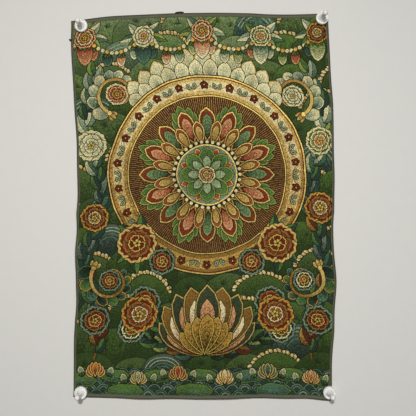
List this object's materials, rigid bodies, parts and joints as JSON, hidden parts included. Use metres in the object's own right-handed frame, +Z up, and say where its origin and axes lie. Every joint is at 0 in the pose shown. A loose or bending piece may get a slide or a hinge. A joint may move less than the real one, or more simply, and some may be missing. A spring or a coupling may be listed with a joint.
{
  "type": "pinned brocade thangka with wall pins",
  "caption": "Woven brocade picture cloth with a narrow bound edge, held flat on a wall by ball-headed push pins at its corners.",
  "frame": {"origin": "on the wall plane, midway between the two upper pins", "axes": "+Z up along the cloth's length, +X to the viewer's right across its width, +Y into the wall; the cloth faces -Y"},
  "size_m": [0.308, 0.0288, 0.4519],
  "materials": {
    "woven_cloth": "dense woven brocade with metallic gold yarn, satin",
    "edge_binding": "grey-brown overcast thread, matt",
    "white_plastic": "moulded, soft gloss",
    "needle_steel": "bright drawn wire"
  },
  "bodies": {
    "root": {"cloth_panel": "woven_cloth", "binding_top": "edge_binding", "binding_bottom": "edge_binding", "binding_left": "edge_binding", "binding_right": "edge_binding", "pin_head_1": "white_plastic", "pin_head_2": "white_plastic", "pin_head_3": "white_plastic", "pin_head_4": "white_plastic", "pin_needle_1": "needle_steel", "pin_needle_2": "needle_steel", "pin_needle_3": "needle_steel", "pin_needle_4": "needle_steel"}
  },
  "joints": []
}
